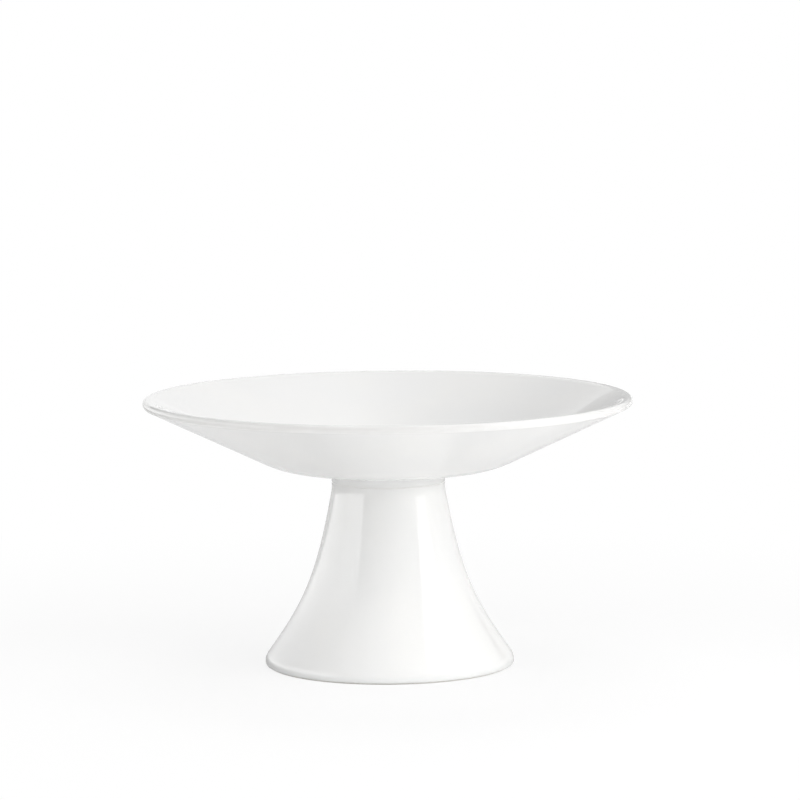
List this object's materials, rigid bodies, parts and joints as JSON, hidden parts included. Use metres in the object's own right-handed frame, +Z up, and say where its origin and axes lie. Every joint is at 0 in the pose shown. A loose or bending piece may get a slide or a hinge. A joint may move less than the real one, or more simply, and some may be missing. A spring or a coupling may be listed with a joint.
{
  "type": "footed compote bowl",
  "caption": "Shallow conical porcelain bowl with a rounded lip and a level well, carried on a hollow flared trumpet foot, for fruit, sweets or cakes.",
  "frame": {"origin": "on the table, at the centre of the circle that the foot rests on", "axes": "+Z up along the axis of turning, from the foot to the bowl; X and Y level, with no preferred direction"},
  "size_m": [0.27, 0.27, 0.1489],
  "materials": {
    "white_glaze": "gloss",
    "bare_slip": "matte"
  },
  "bodies": {
    "root": {"bowl": "white_glaze", "luting_slip": "bare_slip", "pedestal_foot": "white_glaze"}
  },
  "joints": []
}
